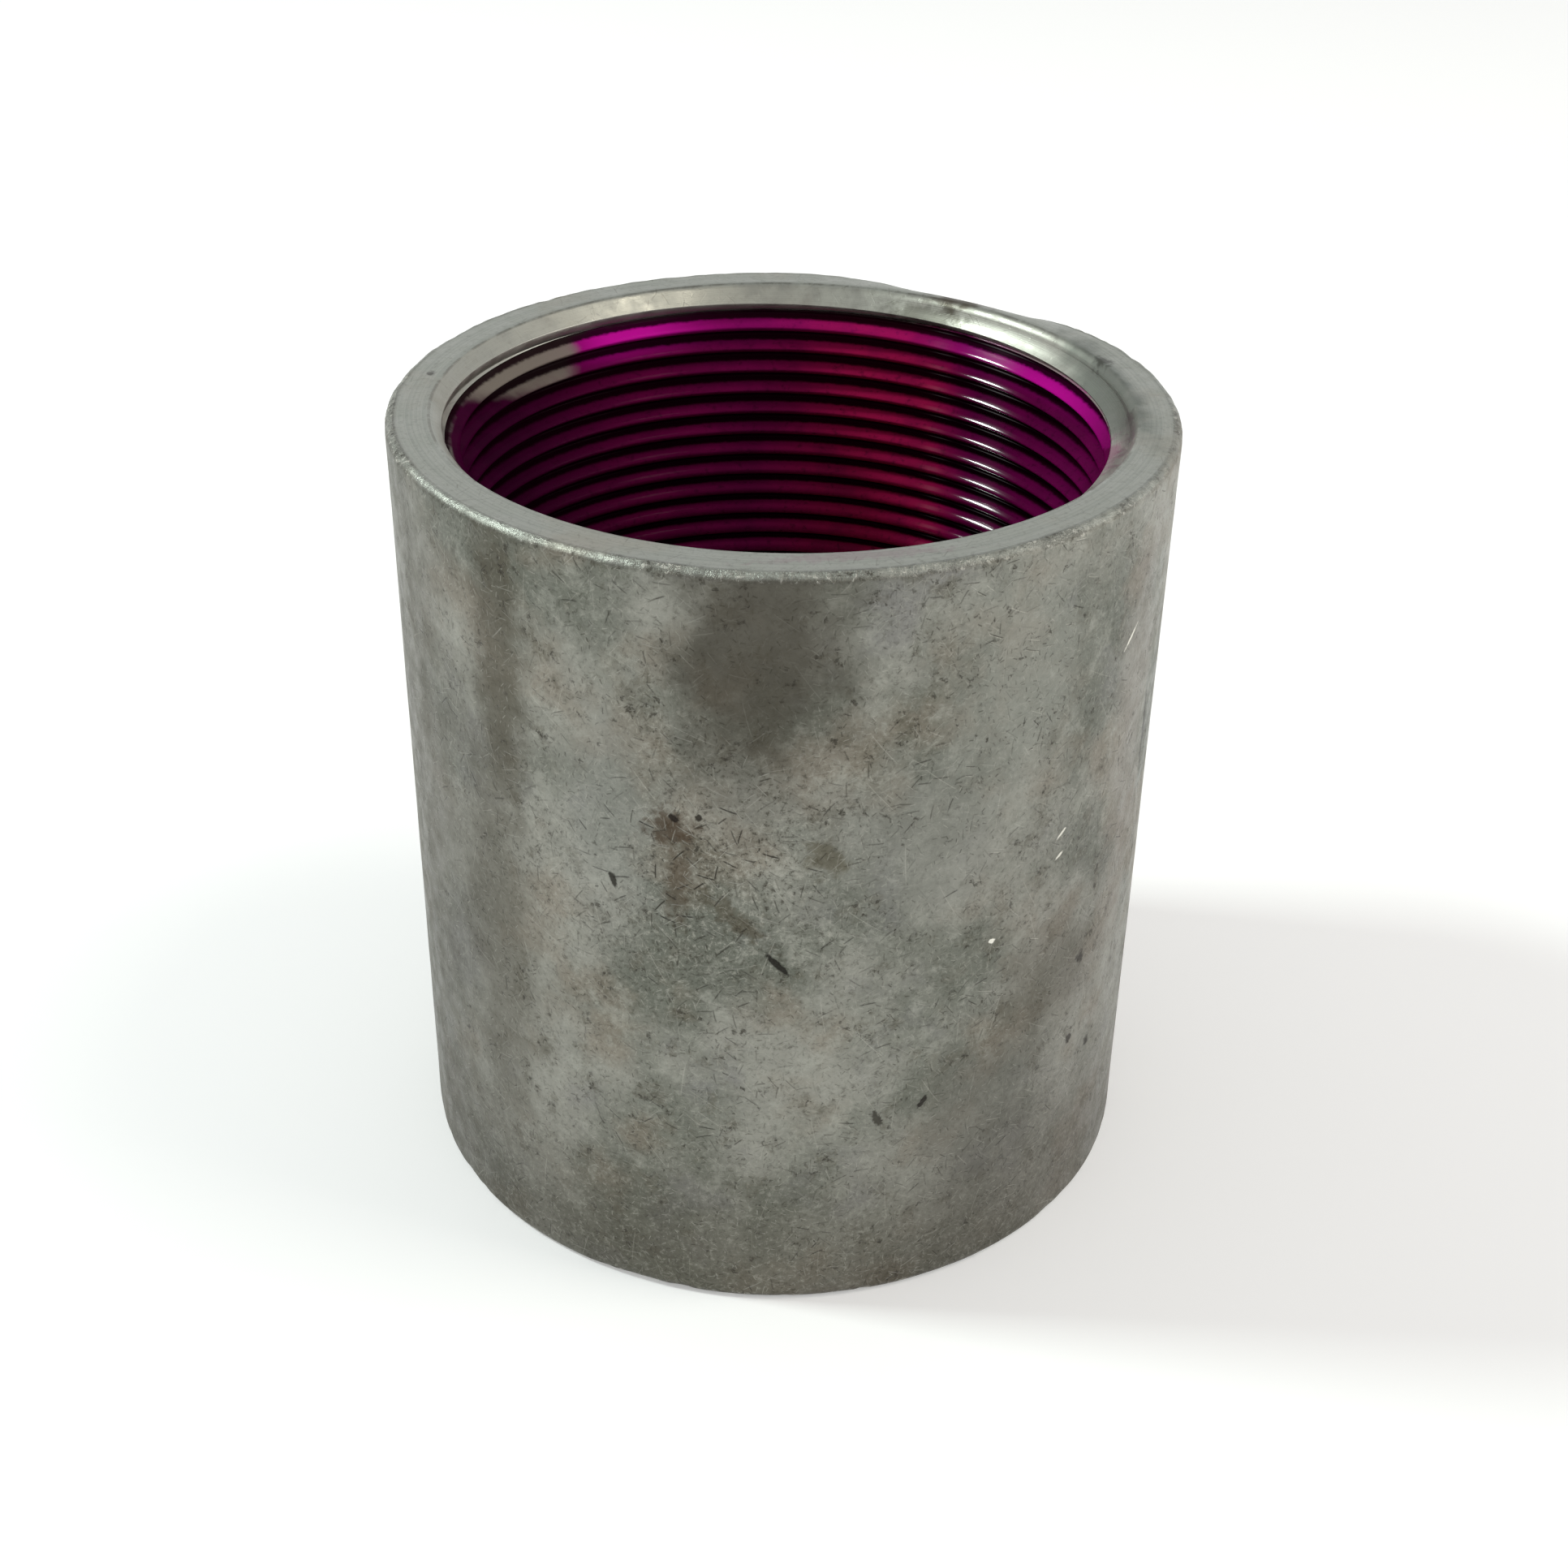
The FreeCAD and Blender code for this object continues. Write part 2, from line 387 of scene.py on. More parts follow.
# ---------------------------------------------------------------- material helpers
class Nodes:
    """A short way to wire shader nodes. Coordinates are the object's own, in millimetres."""

    def __init__(self, name):
        self.material = bpy.data.materials.new(name)
        self.material.use_nodes = True
        self.tree = self.material.node_tree
        self.tree.nodes.clear()
        self.output = self.tree.nodes.new("ShaderNodeOutputMaterial")
        self.shader = self.tree.nodes.new("ShaderNodeBsdfPrincipled")
        self.link(self.shader.outputs["BSDF"], self.output.inputs["Surface"])
        coords = self.tree.nodes.new("ShaderNodeTexCoord")
        self.p = self.vmath("SCALE", coords.outputs["Object"], scale=1.0 / MM)
        geometry = self.tree.nodes.new("ShaderNodeNewGeometry")
        self.normal = geometry.outputs["Normal"]
        split = self.tree.nodes.new("ShaderNodeSeparateXYZ")
        self.link(self.p, split.inputs[0])
        self.x, self.y, self.z = split.outputs

    def link(self, source, target):
        self.tree.links.new(source, target)

    def put(self, value, target):
        if isinstance(value, bpy.types.NodeSocket):
            self.link(value, target)
        elif hasattr(value, "__len__") and len(value) == 3 and target.type == "RGBA":
            target.default_value = (*value, 1.0)
        else:
            target.default_value = value

    def attribute(self, name):
        node = self.tree.nodes.new("ShaderNodeAttribute")
        node.attribute_name = name
        return node.outputs["Fac"]

    def math(self, operation, a, b=0.0, c=0.0):
        node = self.tree.nodes.new("ShaderNodeMath")
        node.operation = operation
        for value, target in zip((a, b, c), node.inputs):
            self.put(value, target)
        return node.outputs[0]

    def vmath(self, operation, a, b=(0.0, 0.0, 0.0), scale=1.0):
        node = self.tree.nodes.new("ShaderNodeVectorMath")
        node.operation = operation
        self.put(a, node.inputs[0])
        self.put(b, node.inputs[1])
        if operation == "SCALE":
            self.put(scale, node.inputs["Scale"])
        scalar = operation in ("DOT_PRODUCT", "LENGTH", "DISTANCE")
        return node.outputs["Value" if scalar else "Vector"]

    def vector(self, x, y, z):
        node = self.tree.nodes.new("ShaderNodeCombineXYZ")
        for value, target in zip((x, y, z), node.inputs):
            self.put(value, target)
        return node.outputs[0]

    def ramp(self, value, low, high, to_low=0.0, to_high=1.0):
        """A smooth step of the value from to_low at low to to_high at high."""
        node = self.tree.nodes.new("ShaderNodeMapRange")
        node.interpolation_type = "SMOOTHSTEP"
        for given, name in ((value, "Value"), (low, "From Min"), (high, "From Max"),
                            (to_low, "To Min"), (to_high, "To Max")):
            self.put(given, node.inputs[name])
        return node.outputs["Result"]

    def mix(self, share, a, b):
        node = self.tree.nodes.new("ShaderNodeMix")
        node.data_type = "RGBA"
        self.put(share, node.inputs["Factor"])
        colours = [i for i in node.inputs if i.type == "RGBA"]
        self.put(a, colours[0])
        self.put(b, colours[1])
        return [o for o in node.outputs if o.type == "RGBA"][0]

    def noise(self, size, detail=3.0, at=None, roughness=0.55, shift=(0.0, 0.0, 0.0)):
        """Noise from 0 to 1 whose largest features are about that many millimetres across."""
        node = self.tree.nodes.new("ShaderNodeTexNoise")
        node.inputs["Scale"].default_value = 1.0 / size
        node.inputs["Detail"].default_value = detail
        node.inputs["Roughness"].default_value = roughness
        place = self.vmath("ADD", at if at is not None else self.p, shift)
        self.link(place, node.inputs["Vector"])
        return node.outputs[0]

    def radius(self):
        return self.math("SQRT", self.math("ADD", self.math("MULTIPLY", self.x, self.x),
                                           self.math("MULTIPLY", self.y, self.y)))

    def surface_axes(self):
        """Unit directions in the surface: around the axis, and across that."""
        around = self.vmath("NORMALIZE", self.vector(self.math("MULTIPLY", self.y, -1.0), self.x, 0.0))
        return around, self.vmath("CROSS_PRODUCT", around, self.normal)

    def dashes(self, axes, spacing, width, length, shift, any_way=1.0, lean=0.0):
        """Short straight scratches, one in each cell of a scattered pattern, from 0 to 1."""
        cells = self.tree.nodes.new("ShaderNodeTexVoronoi")
        cells.inputs["Scale"].default_value = 1.0 / spacing
        place = self.vmath("ADD", self.p, shift)
        self.link(place, cells.inputs["Vector"])
        away = self.vmath("SUBTRACT", place, cells.outputs["Position"])
        split = self.tree.nodes.new("ShaderNodeSeparateXYZ")
        self.link(cells.outputs["Color"], split.inputs[0])
        angle = self.math("MULTIPLY_ADD", split.outputs[0], math.pi * any_way, lean)
        u = self.vmath("DOT_PRODUCT", away, axes[0])
        v = self.vmath("DOT_PRODUCT", away, axes[1])
        c = self.math("COSINE", angle)
        s = self.math("SINE", angle)
        along = self.math("ADD", self.math("MULTIPLY", u, c), self.math("MULTIPLY", v, s))
        across = self.math("SUBTRACT", self.math("MULTIPLY", v, c), self.math("MULTIPLY", u, s))
        bend = self.math("MULTIPLY", self.math("MULTIPLY", along, along), 0.09 / spacing)
        across = self.math("ABSOLUTE", self.math("ADD", across, bend))
        along = self.math("ABSOLUTE", along)
        thin = self.ramp(across, 0.0, width, 1.0, 0.0)
        short = self.ramp(along, 0.3 * length, 0.5 * length, 1.0, 0.0)
        return self.math("MULTIPLY", self.math("MULTIPLY", thin, short), split.outputs[1])

    def bump(self, height, distance):
        node = self.tree.nodes.new("ShaderNodeBump")
        node.inputs["Distance"].default_value = distance * MM
        node.inputs["Strength"].default_value = 1.0
        self.put(height, node.inputs["Height"])
        return node.outputs["Normal"]

    def spot(self, centre, across, up, half_width, half_height, rough, size, soft):
        """A ragged patch around a point, from 0 to 1, with its sizes in mm along two directions."""
        away = self.vmath("SUBTRACT", self.p, centre)
        u = self.math("DIVIDE", self.vmath("DOT_PRODUCT", away, across), half_width)
        v = self.math("DIVIDE", self.vmath("DOT_PRODUCT", away, up), half_height)
        r = self.math("SQRT", self.math("ADD", self.math("MULTIPLY", u, u), self.math("MULTIPLY", v, v)))
        ragged = self.math("SUBTRACT", self.noise(size, 4.0, shift=(centre[0], centre[2], 0.0)), 0.5)
        r = self.math("MULTIPLY_ADD", ragged, rough * 4.0, r)
        return self.ramp(r, 1.0 - soft, 1.0 + soft, 1.0, 0.0), away

    def wall_mark(self, angle, share, half_width, half_height, tilt=0.0, rough=0.35, size=2.0, soft=0.5):
        """A stain, a dent, or a patch of painted light or shade on the outer wall: the angle in degrees
        and the share of the height.
        """
        a = math.radians(angle)
        t = math.radians(tilt)
        centre = (OUTER_RADIUS * math.cos(a), OUTER_RADIUS * math.sin(a), share * LENGTH)
        across = (-math.sin(a) * math.cos(t), math.cos(a) * math.cos(t), math.sin(t))
        up = (math.sin(a) * math.sin(t), -math.cos(a) * math.sin(t), math.cos(t))
        mask, away = self.spot(centre, across, up, half_width, half_height, rough, size, soft)
        side = self.ramp(self.vmath("DOT_PRODUCT", away, (math.cos(a), math.sin(a), 0.0)), -14.0, -8.0)
        return self.math("MULTIPLY", mask, side)

    def mouth_mark(self, angle, radius, half_width, half_depth, rough=0.35, size=2.0, soft=0.5):
        """A stain or a patch of painted shade on the top face or countersink: the angle in degrees and the
        radius in mm.
        """
        a = math.radians(angle)
        centre = (radius * math.cos(a), radius * math.sin(a), LENGTH)
        around = (-math.sin(a), math.cos(a), 0.0)
        outwards = (math.cos(a), math.sin(a), 0.0)
        mask, away = self.spot(centre, around, outwards, half_width, half_depth, rough, size, soft)
        return self.math("MULTIPLY", mask, self.ramp(self.z, LENGTH - 7.0, LENGTH - 5.0))


# ---------------------------------------------------------------- steel
def steel_material():
    n = Nodes("worn_steel")
    axes = n.surface_axes()
    radius = n.radius()
    across_normal = n.math("ABSOLUTE", n.vmath("DOT_PRODUCT", n.normal, (0.0, 0.0, 1.0)))
    wall = n.math("MULTIPLY", n.ramp(radius, 49.3, 50.3), n.ramp(across_normal, 0.35, 0.8, 1.0, 0.0))

    cloud = n.noise(24.0, 3.0)
    tint = n.noise(15.0, 4.0, shift=(7.0, 40.0, 3.0))
    blotch = n.noise(4.5, 6.0, shift=(90.0, 0.0, 20.0), roughness=0.70)
    fine = n.noise(0.75, 4.0, roughness=0.75)
    crumbs = n.noise(1.1, 3.0, shift=(0.0, 21.0, 70.0), roughness=0.65)
    grey = n.mix(n.ramp(cloud, 0.36, 0.64), (0.145, 0.152, 0.127), (0.285, 0.283, 0.250))
    grey = n.mix(n.ramp(tint, 0.50, 0.68, 0.0, 0.55), grey, (0.225, 0.190, 0.148))
    grey = n.mix(n.ramp(tint, 0.46, 0.30, 0.0, 0.45), grey, (0.180, 0.175, 0.180))
    grey = n.mix(n.ramp(blotch, 0.53, 0.66, 0.0, 0.50), grey, (0.092, 0.083, 0.060))
    grey = n.mix(n.ramp(blotch, 0.47, 0.34, 0.0, 0.42), grey, (0.365, 0.368, 0.325))
    low = n.ramp(n.z, 32.0, 4.0, 0.0, 0.62)
    grey = n.mix(low, grey, (0.088, 0.079, 0.060))

    # the front, where the metal is rubbed and the grain stands out
    scratched = n.wall_mark(-101.0, 0.63, 20.0, 14.0, 25.0, 0.35, 6.0, 0.80)
    grain = n.math("MULTIPLY_ADD", scratched, 0.55, 0.45)
    light_grain = n.math("MULTIPLY", n.ramp(fine, 0.52, 0.66, 0.0, 0.70), grain)
    dark_grain = n.math("MULTIPLY", n.ramp(fine, 0.48, 0.32, 0.0, 0.85), grain)
    grey = n.mix(light_grain, grey, (0.37, 0.365, 0.320))
    grey = n.mix(dark_grain, grey, (0.050, 0.045, 0.034))

    # clouds, runs and stains on the wall: the first is the dark one at the top of the front. Some are
    # painted reflection of the surroundings on the round wall instead: the upright dark bands at -158,
    # -134 and -131 degrees are painted shade, the light patches at -113, -56 and -28 degrees painted sheen
    stains_and_painted_bands = [
        (n.wall_mark(-93.0, 0.90, 9.5, 17.0, 0.0, 0.35, 7.0, 0.60), (0.060, 0.053, 0.040), 0.82),
        # painted shade: this band and the next are dark upright bands of reflected surroundings
        (n.wall_mark(-131.0, 0.86, 4.2, 22.0, 0.0, 0.45, 4.5, 0.60), (0.072, 0.062, 0.042), 0.70),
        (n.wall_mark(-134.0, 0.46, 6.5, 28.0, 0.0, 0.45, 6.0, 0.60), (0.095, 0.086, 0.064), 0.62),
        # painted sheen: a light upright patch of reflected surroundings
        (n.wall_mark(-113.0, 0.68, 6.0, 14.0, 0.0, 0.45, 6.0, 0.60), (0.270, 0.275, 0.250), 0.50),
        (n.wall_mark(-70.0, 0.66, 10.0, 11.0, 0.0, 0.45, 7.0, 0.60), (0.245, 0.245, 0.220), 0.50),
        (n.wall_mark(-44.0, 0.40, 9.0, 9.0, 0.0, 0.45, 6.0, 0.60), (0.125, 0.110, 0.085), 0.50),
        (n.wall_mark(-58.0, 0.22, 12.0, 12.0, 0.0, 0.45, 6.0, 0.60), (0.135, 0.130, 0.112), 0.50),
        # painted sheen at -28 degrees, painted shade at -158 and painted sheen at -56: bands of reflected
        # surroundings
        (n.wall_mark(-28.0, 0.70, 5.0, 26.0, 0.0, 0.35, 6.0, 0.60), (0.290, 0.262, 0.235), 0.45),
        (n.wall_mark(-158.0, 0.50, 14.0, 60.0, 0.0, 0.35, 8.0, 0.70), (0.100, 0.094, 0.074), 0.72),
        (n.wall_mark(-56.0, 0.84, 8.0, 15.0, 0.0, 0.35, 6.0, 0.70), (0.330, 0.335, 0.300), 0.50),
        (n.wall_mark(-104.5, 0.685, 2.5, 2.6, 0.0, 0.7, 1.4), (0.058, 0.036, 0.020), 0.80),
        (n.wall_mark(-103.0, 0.62, 1.8, 5.5, -10.0, 0.7, 1.8), (0.075, 0.052, 0.032), 0.60),
        (n.wall_mark(-96.0, 0.575, 1.2, 5.0, 48.0, 0.8, 1.2), (0.075, 0.062, 0.040), 0.60),
        (n.wall_mark(-83.5, 0.655, 2.4, 2.2, 0.0, 0.7, 1.8), (0.085, 0.072, 0.042), 0.62),
    ]
    dark_cloud = stains_and_painted_bands[0][0]
    for mask, tone, share in stains_and_painted_bands:
        grey = n.mix(n.math("MULTIPLY", mask, share), grey, tone)

    crusty = n.math("MULTIPLY", n.ramp(crumbs, 0.58, 0.68), n.ramp(blotch, 0.46, 0.60))
    grey = n.mix(n.math("MULTIPLY", crusty, 0.7), grey, (0.036, 0.032, 0.024))

    # scratches come in patches, and there are fewer in the dark cloud
    patchy = n.ramp(n.noise(11.0, 3.0, shift=(44.0, 9.0, 0.0)), 0.40, 0.62, 0.10, 1.0)
    patchy = n.math("MULTIPLY", patchy, n.math("MULTIPLY_ADD", dark_cloud, -0.75, 1.0))
    patchy = n.math("MAXIMUM", n.math("MULTIPLY", patchy, 0.7), scratched)
    light_dashes = n.dashes(axes, 3.4, 0.12, 3.2, (3.0, 8.0, 1.0), 0.6, -0.9)
    light_cross = n.dashes(axes, 2.9, 0.10, 2.2, (23.0, 18.0, 41.0))
    light_short = n.dashes(axes, 1.3, 0.09, 0.9, (13.0, 2.0, 7.0))
    light_long = n.dashes(axes, 9.0, 0.10, 6.5, (1.0, 29.0, 5.0), 0.5, 0.3)
    dark_dashes = n.dashes(axes, 2.5, 0.14, 2.6, (31.0, 4.0, 17.0))
    dark_short = n.dashes(axes, 1.2, 0.14, 0.8, (51.0, 14.0, 27.0))
    light_dashes = n.math("MULTIPLY", n.math("MAXIMUM", light_dashes, light_cross), patchy)
    dark_dashes = n.math("MULTIPLY", dark_dashes, patchy)
    dark_short = n.math("MULTIPLY", dark_short, n.ramp(blotch, 0.38, 0.56, 0.25, 1.0))
    light_short = n.math("MULTIPLY", light_short, n.math("MULTIPLY_ADD", dark_cloud, -0.85, 1.0))
    light_long = n.math("MULTIPLY", light_long, n.math("MULTIPLY_ADD", dark_cloud, -0.28, 0.35))
    grey = n.mix(dark_dashes, grey, (0.030, 0.027, 0.020))
    grey = n.mix(n.math("MULTIPLY", dark_short, 0.70), grey, (0.036, 0.032, 0.024))
    grey = n.mix(n.math("MULTIPLY", light_short, 0.50), grey, (0.40, 0.395, 0.35))
    grey = n.mix(n.math("MULTIPLY", light_dashes, 0.60), grey, (0.43, 0.425, 0.375))
    grey = n.mix(light_long, grey, (0.46, 0.45, 0.40))

    # nicks and pits on the wall, and bright cuts painted near white as glints
    nicks_pits_and_painted_glints = [
        (n.wall_mark(-90.0, 0.515, 0.42, 2.1, 42.0, 0.4, 0.8, 0.3), (0.014, 0.012, 0.010), 0.92),
        (n.wall_mark(-113.0, 0.602, 0.40, 1.2, 20.0, 0.5, 0.7, 0.3), (0.016, 0.014, 0.010), 0.88),
        (n.wall_mark(-68.0, 0.290, 0.40, 1.2, -38.0, 0.4, 0.7, 0.3), (0.018, 0.014, 0.012), 0.88),
        (n.wall_mark(-75.0, 0.280, 0.55, 1.4, 25.0, 0.7, 0.7, 0.4), (0.024, 0.020, 0.014), 0.80),
        (n.wall_mark(-38.0, 0.400, 0.8, 1.0, 0.0, 0.6, 0.7, 0.4), (0.024, 0.019, 0.014), 0.85),
        (n.wall_mark(-39.0, 0.280, 0.6, 0.8, 0.0, 0.6, 0.7, 0.4), (0.024, 0.018, 0.014), 0.85),
        (n.wall_mark(-33.0, 0.245, 0.6, 0.8, 0.0, 0.6, 0.7, 0.4), (0.024, 0.019, 0.014), 0.85),
        (n.wall_mark(-21.0, 0.650, 0.5, 6.0, 3.0, 0.8, 1.0, 0.4), (0.040, 0.034, 0.028), 0.75),
        (n.wall_mark(-104.0, 0.698, 0.6, 0.6, 0.0, 0.5, 0.6, 0.3), (0.014, 0.010, 0.008), 0.90),
        (n.wall_mark(-100.5, 0.703, 0.45, 0.5, 0.0, 0.5, 0.6, 0.3), (0.016, 0.012, 0.008), 0.90),
        # painted glints: the next four cuts and spots are near white
        (n.wall_mark(-32.0, 0.82, 0.22, 1.9, -52.0, 0.3, 0.6, 0.3), (0.80, 0.78, 0.70), 0.90),
        (n.wall_mark(-46.0, 0.61, 0.20, 0.9, -55.0, 0.3, 0.6, 0.3), (0.80, 0.78, 0.70), 0.90),
        (n.wall_mark(-46.0, 0.58, 0.20, 0.8, -60.0, 0.3, 0.6, 0.3), (0.80, 0.78, 0.70), 0.90),
        (n.wall_mark(-58.0, 0.50, 0.45, 0.35, 0.0, 0.5, 0.6, 0.3), (0.90, 0.88, 0.80), 0.90),
    ]
    for mask, tone, share in nicks_pits_and_painted_glints:
        grey = n.mix(n.math("MULTIPLY", mask, share), grey, tone)

    # the turned face and countersink, and the bore's bare metal, which is painted darker deeper in as
    # painted shade
    turned = n.noise(0.16, 2.0, at=n.vector(radius, 0.0, n.z))
    face = n.mix(n.ramp(turned, 0.3, 0.7), (0.350, 0.370, 0.335), (0.435, 0.450, 0.408))
    face = n.mix(n.ramp(tint, 0.5, 0.7, 0.0, 0.5), face, (0.40, 0.37, 0.31))
    face = n.mix(n.ramp(fine, 0.50, 0.30, 0.0, 0.35), face, (0.15, 0.150, 0.130))
    face = n.mix(n.math("MULTIPLY", dark_dashes, 0.6), face, (0.10, 0.09, 0.07))
    cone = n.math("MULTIPLY", n.ramp(across_normal, 0.95, 0.80), n.ramp(radius, 45.6, 45.2))
    face = n.mix(n.math("MULTIPLY", cone, 0.5), face, (0.40, 0.385, 0.335))
    seam = n.ramp(n.math("ABSOLUTE", n.math("SUBTRACT", radius, 45.25)), 0.08, 0.30, 1.0, 0.0)
    face = n.mix(n.math("MULTIPLY", seam, n.ramp(blotch, 0.42, 0.58, 0.0, 0.45)), face, (0.11, 0.10, 0.08))
    in_bore = n.math("MULTIPLY", n.ramp(radius, 45.0, 44.0), n.ramp(n.z, LENGTH - 3.6, LENGTH - 4.4))
    # painted shade: the bare metal darkens from the mouth inwards
    bore_with_painted_shade = n.mix(n.ramp(n.z, LENGTH - 4.5, LENGTH - 10.0), (0.25, 0.220, 0.190), (0.075, 0.055, 0.042))
    bore_with_painted_shade = n.mix(n.ramp(cloud, 0.40, 0.60, 0.0, 0.5), bore_with_painted_shade, (0.150, 0.070, 0.090))
    face = n.mix(n.math("MULTIPLY", in_bore, 0.9), face, bore_with_painted_shade)
    mouth_stains_and_painted_shade = [
        # painted shade: dims the reflection on the right of the countersink; the rest are stains, rust and
        # dye smears
        (n.mouth_mark(10.0, 43.2, 17.0, 2.8, 0.3, 4.0), (0.120, 0.140, 0.120), 0.75),
        (n.mouth_mark(57.6, 46.6, 4.6, 2.2, 0.7, 2.0), (0.070, 0.050, 0.034), 0.75),
        (n.mouth_mark(62.0, 42.9, 5.0, 1.5, 0.8, 2.0), (0.080, 0.078, 0.058), 0.60),
        (n.mouth_mark(55.0, 49.2, 1.6, 0.8, 0.7, 1.0), (0.200, 0.105, 0.060), 0.70),
        (n.mouth_mark(20.0, 45.5, 1.6, 0.9, 0.8, 1.0), (0.050, 0.050, 0.040), 0.70),
        (n.mouth_mark(171.0, 47.0, 0.7, 0.5, 0.6, 0.8), (0.060, 0.055, 0.045), 0.80),
        (n.mouth_mark(-13.0, 41.9, 4.6, 1.3, 0.8, 1.6), (0.34, 0.050, 0.190), 0.50),
        (n.mouth_mark(-150.0, 41.4, 8.0, 0.6, 0.6, 1.6), (0.28, 0.060, 0.140), 0.35),
        (n.mouth_mark(-80.0, 46.3, 9.0, 1.0, 0.9, 1.2), (0.30, 0.190, 0.230), 0.35),
    ]
    for mask, tone, share in mouth_stains_and_painted_shade:
        face = n.mix(n.math("MULTIPLY", mask, share), face, tone)
    colour = n.mix(wall, face, grey)

    # the rim's outer edge, worn and chipped; its bright chips are bare metal and partly painted sparkle
    edge = n.math("MULTIPLY", n.ramp(radius, 49.2, 49.9), n.ramp(across_normal, 0.08, 0.45))
    chip = n.noise(0.9, 4.0, shift=(5.0, 5.0, 5.0), roughness=0.75)
    worn = n.ramp(n.noise(9.0, 2.0, shift=(15.0, 35.0, 5.0)), 0.40, 0.62, 0.35, 1.0)
    edge = n.math("MULTIPLY", edge, worn)
    colour = n.mix(n.math("MULTIPLY", edge, 0.60), colour, (0.135, 0.130, 0.110))
    chip_and_painted_sparkle = n.math("MULTIPLY", edge, n.ramp(chip, 0.56, 0.64, 0.0, 0.70))
    dark_chip = n.math("MULTIPLY", edge, n.ramp(chip, 0.46, 0.38, 0.0, 0.70))
    colour = n.mix(chip_and_painted_sparkle, colour, (0.62, 0.61, 0.55))
    colour = n.mix(dark_chip, colour, (0.05, 0.045, 0.035))

    n.put(colour, n.shader.inputs["Base Color"])
    n.shader.inputs["Metallic"].default_value = 0.9
    rough = n.ramp(n.noise(3.2, 4.0, shift=(3.0, 3.0, 60.0)), 0.3, 0.7, 0.36, 0.54)
    rough = n.math("SUBTRACT", rough, n.math("MULTIPLY", n.math("SUBTRACT", 1.0, wall), 0.04))
    n.put(rough, n.shader.inputs["Roughness"])
    height = n.math("MULTIPLY", fine, 0.6)
    height = n.math("SUBTRACT", height, dark_dashes)
    height = n.math("SUBTRACT", height, n.math("MULTIPLY", crusty, 0.8))
    height = n.math("ADD", height, n.math("MULTIPLY", light_dashes, 0.7))
    height = n.math("MULTIPLY", height, n.math("MULTIPLY_ADD", wall, 0.8, 0.2))
    height = n.math("ADD", height, n.math("MULTIPLY", turned, n.math("MULTIPLY_ADD", wall, -0.2, 0.2)))
    height = n.math("ADD", height, n.math("MULTIPLY", edge, n.math("MULTIPLY", chip, 6.0)))
    n.put(n.bump(height, 0.09), n.shader.inputs["Normal"])
    return n.material


# ---------------------------------------------------------------- magenta film
def film_material(name, shift):
    """The shift moves the noise, so that the two films differ."""
    n = Nodes(name)
    groove = n.attribute("groove_depth")
    painted_gleam = n.attribute("mouth_painted_gleam")
    worn = n.attribute("worn_patch")
    wet = n.attribute("wet_streak")
    streaks = n.noise(8.0, 4.0, shift=(shift, 3.0, 0.0), roughness=0.6)
    fine = n.noise(1.0, 4.0, shift=(0.0, shift, 9.0), roughness=0.65)
    # colour across the bore from left to right: the dark left is painted shade, the bright crimson middle
    # is partly the dye's own colour and partly painted light
    colour = n.mix(n.ramp(n.x, -40.0, -10.0), (0.030, 0.001, 0.016), (0.155, 0.003, 0.058))
    colour = n.mix(n.ramp(n.x, -6.0, 13.0), colour, (0.290, 0.006, 0.054))
    colour = n.mix(n.ramp(n.x, 20.0, 28.0), colour, (0.110, 0.0015, 0.048))
    colour = n.mix(n.ramp(n.x, 33.0, 40.0), colour, (0.120, 0.002, 0.056))
    colour = n.mix(n.ramp(streaks, 0.58, 0.38, 0.0, 0.35), colour, (0.060, 0.0015, 0.030))
    colour = n.mix(n.ramp(fine, 0.47, 0.30, 0.0, 0.50), colour, (0.030, 0.001, 0.014))
    # painted reflection: the first turn brightened to magenta where it catches the light
    colour = n.mix(n.math("MULTIPLY", painted_gleam, 0.95), colour, (0.62, 0.006, 0.36))
    patch = n.math("MULTIPLY_ADD", n.math("SUBTRACT", streaks, 0.5), 0.9, worn)
    patch = n.ramp(patch, 0.25, 0.95, 0.0, 0.90)
    colour = n.mix(patch, colour, (0.215, 0.190, 0.160))
    lip = n.math("MULTIPLY", n.attribute("above_thread"), n.ramp(streaks, 0.40, 0.56))
    colour = n.mix(n.math("MULTIPLY", lip, 0.85), colour, (0.300, 0.290, 0.255))
    # darker towards the roots: partly dye pooled there, partly painted shade of the deep groove
    edge = n.math("MULTIPLY_ADD", n.math("SUBTRACT", fine, 0.5), 0.22, groove)
    colour = n.mix(n.ramp(edge, 0.46, 0.66, 0.0, 0.96), colour, (0.008, 0.0005, 0.003))
    n.put(colour, n.shader.inputs["Base Color"])
    n.shader.inputs["Specular IOR Level"].default_value = 0.0
    n.put(n.ramp(streaks, 0.3, 0.7, 0.40, 0.55), n.shader.inputs["Roughness"])
    n.put(n.math("MULTIPLY_ADD", wet, 0.98, 0.012), n.shader.inputs["Coat Weight"])
    n.put(n.math("MULTIPLY_ADD", wet, 0.08, 0.10), n.shader.inputs["Coat Roughness"])
    n.shader.inputs["Coat IOR"].default_value = 1.9
    ripple = n.noise(2.2, 3.0, shift=(shift, 0.0, 5.0))
    n.put(n.bump(n.math("MULTIPLY_ADD", fine, 0.35, ripple), 0.07), n.shader.inputs["Normal"])
    return n.material


def floor_material():
    n = Nodes("pale_floor")
    n.shader.inputs["Base Color"].default_value = (0.86, 0.86, 0.86, 1.0)
    n.shader.inputs["Roughness"].default_value = 0.9
    n.shader.inputs["Specular IOR Level"].default_value = 0.1
    n.shader.inputs["Emission Color"].default_value = (1.0, 1.0, 1.0, 1.0)
    n.shader.inputs["Emission Strength"].default_value = 0.22
    return n.material


